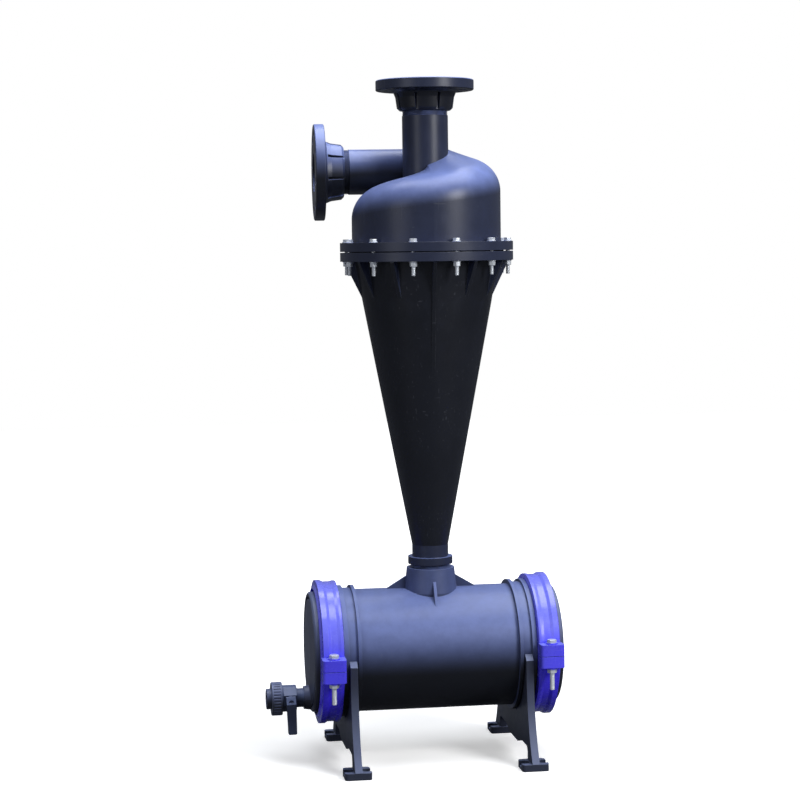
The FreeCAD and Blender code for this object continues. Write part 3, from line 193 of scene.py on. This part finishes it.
def finish(name, colour, painted_highlight=None, painted_highlight_amount=0.0, roughness=0.4, spread=0.16,
           grain=0.00004, grain_scale=900.0, wear=0.35, wear_colour=SCUFF, edge=0.0012,
           scratches=0.25, metallic=0.0, coat=0.0, sheen=0.0, highlight_low=-0.30, highlight_high=0.70,
           specular=0.4):
    """A worn surface: cloudy colour, a painted highlight on what faces up, scratches and rubbed
    edges.
    """
    g = Graph(name)
    place = g.node("TexCoord").outputs["Object"]
    normal = g.node("NewGeometry").outputs["Normal"]
    broad = g.noise(place, 7.0)
    patchy = g.noise(place, 38.0, 6.0, 0.62)
    fine = g.noise(place, grain_scale, 3.0, 0.5)
    tone = g.mix(g.ramp(broad, 0.3, 0.7), rgba(colour, 0.84), rgba(colour, 1.18))

    # Painted highlight: a pale blue colour mixed in, in mottled patches, on faces that look up,
    # standing for the reflection of the overhead light.
    if painted_highlight:
        upward = g.node("SeparateXYZ", {0: normal}).outputs["Z"]
        facing = g.ramp(upward, highlight_low, highlight_high)
        highlight_mottle = g.math("ADD", g.math("MULTIPLY", patchy, 0.5), 0.75)
        highlight_share = g.math("MULTIPLY", g.math("MULTIPLY", facing, highlight_mottle), painted_highlight_amount, True)
        tone = g.mix(highlight_share, tone, rgba(painted_highlight))

    soft = g.node("Bevel", {"Radius": edge}, samples=6).outputs[0]
    agree = g.node("VectorMath", {0: soft, 1: normal}, operation="DOT_PRODUCT").outputs["Value"]
    rim = g.ramp(g.math("SUBTRACT", 1.0, agree), 0.01, 0.22)
    worn = g.math("MULTIPLY", rim, g.ramp(patchy, 0.35, 0.68, 0.15, 1.0))
    tone = g.mix(g.math("MULTIPLY", worn, wear), tone, rgba(wear_colour))

    lengthwise = g.node("Mapping", {"Vector": place, "Rotation": (0.5, 0.35, 0.2),
                                    "Scale": (420.0, 420.0, 9.0)}).outputs[0]
    across = g.node("Mapping", {"Vector": place, "Rotation": (0.1, 1.1, 0.7),
                                "Scale": (12.0, 300.0, 300.0)}).outputs[0]
    lines = g.math("MAXIMUM", g.ramp(g.noise(lengthwise, 1.0, 1.0), 0.70, 0.76),
                   g.ramp(g.noise(across, 1.0, 1.0), 0.71, 0.77))
    lines = g.math("MULTIPLY", lines, g.ramp(broad, 0.45, 0.65))
    tone = g.mix(g.math("MULTIPLY", lines, scratches), tone, rgba(wear_colour))

    rough = g.math("ADD", roughness - spread / 2, g.math("MULTIPLY", patchy, spread))
    rough = g.math("ADD", rough, g.math("MULTIPLY", lines, 0.15), True)
    height = g.math("SUBTRACT", fine, g.math("MULTIPLY", lines, 0.8))
    bump = g.node("Bump", {"Strength": 0.6, "Distance": grain, "Height": height,
                           "Normal": soft}).outputs[0]
    shader = g.node("BsdfPrincipled", {"Base Color": tone, "Roughness": rough,
                                       "Metallic": metallic, "Normal": bump,
                                       "Coat Weight": coat, "Coat Roughness": 0.18,
                                       "Sheen Weight": sheen, "Sheen Roughness": 0.45,
                                       "Specular IOR Level": specular})
    g.node("OutputMaterial", {0: shader.outputs[0]})
    return g.material


FINISHES = {
    "black": finish("moulded_black", BLACK, BLACK_PAINTED_HIGHLIGHT, 0.88, 0.36, highlight_low=-0.20,
                    highlight_high=0.82),
    "tank": finish("tank_black", BLACK, BLACK_PAINTED_HIGHLIGHT, 0.84, 0.40, highlight_high=0.52),
    "foot": finish("saddle_black", FOOT_BLACK, FOOT_PAINTED_HIGHLIGHT, 0.8, 0.42,
                   wear=0.5, highlight_low=-0.1),
    "cap": finish("cap_grey", CAP_GREY, CAP_PAINTED_HIGHLIGHT, 0.8, 0.42),
    "blue": finish("clamp_blue", CLAMP_BLUE, CLAMP_PAINTED_HIGHLIGHT, 0.7, 0.27, wear=0.22, highlight_low=-0.35,
                   wear_colour=CLAMP_WEAR, scratches=0.15, coat=0.5),
    "valve": finish("valve_grey", GREY_PLASTIC, GREY_PAINTED_HIGHLIGHT, 0.9, 0.33),
    "nut": finish("union_grey", NUT_GREY, NUT_PAINTED_HIGHLIGHT, 0.9, 0.36),
    "lever": finish("lever_black", DARK_PLASTIC, LEVER_PAINTED_HIGHLIGHT, 0.9, 0.34),
    "rubber": finish("seal_rubber", RUBBER, roughness=0.72, spread=0.12, grain=0.00008,
                     scratches=0.0, sheen=0.15, wear=0.15),
    "zinc": finish("zinc_plate", ZINC, roughness=0.30, spread=0.18, metallic=0.35,
                   wear_colour=ZINC_WEAR, wear=0.5, grain=0.00002),
    "seat": finish("seat_white", SEAT_WHITE, roughness=0.4, scratches=0.1,
                   wear=0.1),
}

NODE_FINISH = {
    "cyclone_cone": "black", "cyclone_head": "black", "vortex_finder": "black",
    "outlet_flange": "black", "inlet_flange": "black", "sediment_tank": "tank",
    "left_end_cap": "cap", "right_end_cap": "cap", "left_saddle": "foot",
    "right_saddle": "foot", "left_clamp_upper": "blue", "left_clamp_lower": "blue",
    "right_clamp_upper": "blue", "right_clamp_lower": "blue", "valve_body": "valve",
    "seat_carrier": "valve", "union_nut": "nut", "union_tailpiece": "cap",
    "valve_lever": "lever", "valve_stem": "lever", "valve_ball": "lever",
    "valve_seats": "seat", "head_gasket": "rubber", "outlet_seal": "rubber",
    "inlet_seal": "rubber", "underflow_seal": "rubber", "left_cap_seal": "rubber",
    "right_cap_seal": "rubber", "union_seal": "rubber", "head_bolts": "zinc",
    "head_bolt_washers": "zinc", "head_nuts": "zinc", "clamp_bolts": "zinc",
    "clamp_nuts": "zinc",
}

for node_name, finish_name in NODE_FINISH.items():
    for material_slot in nodes[node_name].material_slots:
        material_slot.material = FINISHES[finish_name]


# ------------------------------------------------------------ extra pieces


class Mesh:
    """Collects points and faces, each piece placed by a matrix."""

    def __init__(self):
        self.points = []
        self.faces = []

    def rings(self, rings, place, close_start=True, close_end=True):
        """Skins a list of rings with equally many points, and closes its ends."""
        first = len(self.points)
        count = len(rings[0])
        for ring in rings:
            self.points += [place @ Vector(point) for point in ring]
        for level in range(len(rings) - 1):
            low = first + level * count
            high = low + count
            for step in range(count):
                after = (step + 1) % count
                self.faces.append((low + step, low + after, high + after, high + step))
        if close_start:
            self.faces.append(tuple(first + step for step in reversed(range(count))))
        if close_end:
            last = first + (len(rings) - 1) * count
            self.faces.append(tuple(last + step for step in range(count)))

    def piece(self, name, finish_name):
        """Makes the object, riding on the separator."""
        data = bpy.data.meshes.new(name)
        data.from_pydata([tuple(point) for point in self.points], [], self.faces)
        data.validate()
        data.update()
        made = bpy.data.objects.new(name, data)
        bpy.context.collection.objects.link(made)
        data.materials.append(FINISHES[finish_name])
        data.shade_smooth()
        data.set_sharp_from_angle(angle=SHARP_ANGLE)
        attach(made, "separator")
        return made


def circle(radius, height, count):
    """A ring of points about Z."""
    turns = [math.tau * step / count for step in range(count)]
    return [(radius * math.cos(turn), radius * math.sin(turn), height) for turn in turns]


def hexagon(flats, height, count, trim=0.0):
    """A hexagonal ring. Where trim is given, corners beyond it drop along the chamfer."""
    ring = []
    for step in range(count):
        turn = math.tau * step / count
        off_flat = (turn % (math.pi / 3)) - math.pi / 6
        radius = flats / 2 / math.cos(off_flat)
        fall = max(0.0, radius - trim) * CHAMFER_SLOPE if trim else 0.0
        ring.append((radius * math.cos(turn), radius * math.sin(turn), height - fall))
    return ring


def hex_block(mesh, place, flats, bottom, top, chamfer_bottom, bore=0.0):
    """A hexagon with a turned chamfer on top, and below it too for a nut."""
    face = flats / 2 * 0.965
    rings = []
    if bore:
        rings.append(circle(bore, bottom, HEX_STEPS))
    rings.append(circle(face, bottom, HEX_STEPS))
    if chamfer_bottom:
        raised = hexagon(flats, -bottom, HEX_STEPS, face)
        rings.append([(x, y, -z) for x, y, z in raised])
    else:
        rings.append(hexagon(flats, bottom, HEX_STEPS))
    rings.append(hexagon(flats, top, HEX_STEPS, face))
    rings.append(circle(face, top, HEX_STEPS))
    if bore:
        rings.append(circle(bore, top, HEX_STEPS))
        rings.append(circle(bore, bottom, HEX_STEPS))
    mesh.rings(rings, place, not bore, not bore)


def thread(mesh, place, core, crest, pitch, start, end, count=SHANK_STEPS, lead_in=0.0,
           closed=True):
    """A screw thread as a helical height field between two heights."""
    levels = max(2, int(round((end - start) / pitch * THREAD_LEVELS)))
    rings = []
    for level in range(levels + 1):
        height = start + (end - start) * level / levels
        allowed = crest
        if lead_in:
            allowed = min(crest, core + (height - start) / lead_in * (crest - core))
        ring = []
        for step in range(count):
            turn = math.tau * step / count
            phase = (height / pitch - step / count) % 1.0
            ridge = 1.0 - abs(2.0 * phase - 1.0)
            flat_top = min(1.0, max(0.0, ridge * 1.35 - 0.12))
            radius = min(core + (crest - core) * flat_top, max(allowed, core))
            ring.append((radius * math.cos(turn), radius * math.sin(turn), height))
        rings.append(ring)
    mesh.rings(rings, place, closed, closed)


def bolt(mesh, place, radius, flats, pitch, seat, head, end, thread_length):
    """A bolt with its head up: a hexagon, a plain shank and a cut thread with a lead-in."""
    hex_block(mesh, place, flats, seat, seat + head, False)
    thread_top = end + thread_length
    shank = [circle(radius, thread_top, SHANK_STEPS), circle(radius, seat, SHANK_STEPS)]
    mesh.rings(shank, place)
    thread(mesh, place, radius * 0.86, radius, pitch, end, thread_top, lead_in=pitch)


head_nut_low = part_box("head_nuts")[0].z
head_bolt_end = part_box("head_bolts")[0].z
bolts = Mesh()
nuts = Mesh()
for index in range(HEAD_BOLTS):
    bearing = (index + 0.5) * math.tau / HEAD_BOLTS + HEAD_TURN
    spot = Matrix.Rotation(bearing, 4, "Z") @ Matrix.Translation((HEAD_BOLT_CIRCLE, 0, 0))
    spot = spot @ Matrix.Rotation(math.radians(30), 4, "Z")
    bolt(bolts, spot, SMALL_RADIUS, SMALL_FLATS, SMALL_PITCH, HEAD_SEAT_HEIGHT, SMALL_HEAD,
         head_bolt_end, head_nut_low - head_bolt_end + THREAD_OVERLAP)
    hex_block(nuts, spot, SMALL_FLATS, head_nut_low, head_nut_low + HEAD_NUT_HEIGHT, True,
              SMALL_RADIUS * 0.98)
head_bolts = bolts.piece("head_bolts_threaded", "zinc")
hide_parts("head_bolts")
head_nuts = nuts.piece("head_nuts_chamfered", "zinc")
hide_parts("head_nuts")

bolts = Mesh()
nuts = Mesh()
for side, turn in CLAMP_TURNS:
    for front in (-1, 1):
        spot = Matrix.Translation((side * CLAMP_X, 0, TANK_HEIGHT))
        spot = spot @ Matrix.Rotation(turn, 4, "X")
        spot = spot @ Matrix.Translation((0, front * CLAMP_Y, 0))
        nut_low = -LUG_SEAT - LARGE_NUT_HEIGHT
        bolt(bolts, spot, LARGE_RADIUS, LARGE_FLATS, LARGE_PITCH, LUG_SEAT, LARGE_HEAD,
             CLAMP_SHANK_END, nut_low - CLAMP_SHANK_END + THREAD_OVERLAP)
        hex_block(nuts, spot, LARGE_FLATS, nut_low, -LUG_SEAT, True, LARGE_RADIUS * 0.98)
clamp_bolts = bolts.piece("clamp_bolts_threaded", "zinc")
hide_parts("clamp_bolts")
clamp_nuts = nuts.piece("clamp_nuts_chamfered", "zinc")
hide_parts("clamp_nuts")

# The threads that show in the gaps behind the pipe flanges, above the tank and at the drain
outlet_thread = Mesh()
thread(outlet_thread, Matrix.Identity(4), PIPE_THREAD_CORE, PIPE_THREAD_CREST,
       PIPE_THREAD_PITCH, *OUTLET_GAP, PIPE_STEPS, closed=False)
outlet_thread.piece("outlet_pipe_thread", "black")

inlet_thread = Mesh()
inlet_place = Matrix.Rotation(HEAD_TURN, 4, "Z")
inlet_place = inlet_place @ Matrix.Translation((-INLET_REACH, INLET_OFFSET, INLET_HEIGHT))
inlet_place = inlet_place @ Matrix.Rotation(math.radians(90), 4, "Y")
thread(inlet_thread, inlet_place, PIPE_THREAD_CORE, PIPE_THREAD_CREST,
       PIPE_THREAD_PITCH, *INLET_GAP, PIPE_STEPS, closed=False)
inlet_thread.piece("inlet_pipe_thread", "black")

spigot_thread = Mesh()
thread(spigot_thread, Matrix.Identity(4), SPIGOT_CORE, SPIGOT_CREST,
       PIPE_THREAD_PITCH, *SPIGOT_GAP, PIPE_STEPS, closed=False)
spigot_thread.piece("spigot_thread", "black")

drain_thread = Mesh()
drain_place = Matrix.Translation((0, 0, DRAIN_HEIGHT)) @ Matrix.Rotation(
    math.radians(90), 4, "Y")
thread(drain_thread, drain_place, DRAIN_CORE, DRAIN_CREST,
       PIPE_THREAD_PITCH, *DRAIN_GAP, DRAIN_STEPS, closed=False)
drain_thread.piece("drain_end_thread", "valve")


# ------------------------------------------------------- floor, lamps, camera


def floor():
    """A plain pale floor. It keeps the object's shadow near it and fades to white beyond."""
    half = 8.0
    data = bpy.data.meshes.new("floor")
    data.from_pydata([(-half, -half, 0), (half, -half, 0), (half, half, 0), (-half, half, 0)],
                     [], [(0, 1, 2, 3)])
    made = bpy.data.objects.new("floor", data)
    bpy.context.collection.objects.link(made)
    g = Graph("pale_floor")
    path = g.node("LightPath")
    seen = path.outputs["Is Camera Ray"]
    shown = g.math("MAXIMUM", seen, path.outputs["Is Transmission Ray"])
    place = g.node("TexCoord").outputs["Object"]
    away = g.node("VectorMath", {0: place}, operation="LENGTH").outputs["Value"]
    mottle = g.math("MULTIPLY", g.noise(place, 3.0), 0.02)
    lift = g.math("ADD", g.ramp(away, 0.5, 1.5, FLOOR_LIFT, 1.0), mottle)
    # Painted shade: to every ray but camera and transmission rays the floor is dark grey, so it
    # sends little light back up onto the object's undersides.
    shade = g.mix(shown, (0.16, 0.17, 0.20, 1.0), (0.86, 0.86, 0.86, 1.0))
    shader = g.node("BsdfDiffuse", {"Color": shade, "Roughness": 0.6})
    glow = g.node("Emission", {"Color": (1.0, 1.0, 1.0, 1.0),
                               "Strength": g.math("MULTIPLY", shown, lift)})
    both = g.node("AddShader", {0: shader.outputs[0], 1: glow.outputs[0]})
    g.node("OutputMaterial", {0: both.outputs[0]})
    data.materials.append(g.material)


def lamp(name, place, target, size, power, colour=(1.0, 1.0, 1.0)):
    """A rectangular softbox aimed at a point."""
    data = bpy.data.lights.new(name, "AREA")
    data.shape = "RECTANGLE"
    data.size = size[0]
    data.size_y = size[1]
    data.energy = power
    data.color = colour
    made = bpy.data.objects.new(name, data)
    made.location = place
    aim = Vector(target) - Vector(place)
    made.rotation_euler = aim.to_track_quat("-Z", "Y").to_euler()
    bpy.context.collection.objects.link(made)


def camera():
    """The camera, placed at the product's usual view."""
    place = Vector((math.sin(CAMERA_AZIMUTH) * CAMERA_DISTANCE,
                    -math.cos(CAMERA_AZIMUTH) * CAMERA_DISTANCE, CAMERA_HEIGHT))
    heading = CAMERA_AZIMUTH + CAMERA_YAW
    level = Vector((-math.sin(heading), math.cos(heading), 0))
    side = Vector((math.cos(heading), math.sin(heading), 0))
    up = Vector((0, 0, 1))
    ahead = math.cos(CAMERA_PITCH) * level - math.sin(CAMERA_PITCH) * up
    above = math.sin(CAMERA_PITCH) * level + math.cos(CAMERA_PITCH) * up
    right = math.cos(CAMERA_ROLL) * side + math.sin(CAMERA_ROLL) * above
    top = -math.sin(CAMERA_ROLL) * side + math.cos(CAMERA_ROLL) * above
    data = bpy.data.cameras.new("camera")
    data.lens = CAMERA_LENS_MM
    data.sensor_width = CAMERA_SENSOR_MM
    made = bpy.data.objects.new("camera", data)
    axes = Matrix((right, top, -ahead)).transposed().to_4x4()
    made.matrix_world = Matrix.Translation(place) @ axes
    bpy.context.collection.objects.link(made)
    bpy.context.scene.camera = made


def world(lighting):
    """White to the camera, and a low even fill for everything else."""
    made = bpy.data.worlds.new("studio")
    made.use_nodes = True
    tree = made.node_tree
    tree.nodes.clear()
    path = tree.nodes.new("ShaderNodeLightPath")
    seen = tree.nodes.new("ShaderNodeBackground")
    seen.inputs[0].default_value = (1.0, 1.0, 1.0, 1.0)
    fill = tree.nodes.new("ShaderNodeBackground")
    fill.inputs[0].default_value = (0.92, 0.95, 1.0, 1.0)
    fill.inputs[1].default_value = lighting
    blend = tree.nodes.new("ShaderNodeMixShader")
    out = tree.nodes.new("ShaderNodeOutputWorld")
    tree.links.new(path.outputs["Is Camera Ray"], blend.inputs[0])
    tree.links.new(fill.outputs[0], blend.inputs[1])
    tree.links.new(seen.outputs[0], blend.inputs[2])
    tree.links.new(blend.outputs[0], out.inputs[0])
    bpy.context.scene.world = made


floor()
lamp("overhead", (0.2, 0.1, 3.1), (0, 0, 0.6), (2.6, 2.2), 86.0, (0.93, 0.96, 1.0))
lamp("key_right", (2.0, -2.6, 2.2), (0, 0, 0.6), (1.2, 1.6), 78.0)
lamp("fill_left", (-2.6, -2.2, 1.6), (0, 0, 0.6), (1.4, 2.0), 14.0)
world(0.17)
camera()

bpy.context.scene.view_settings.view_transform = "Standard"
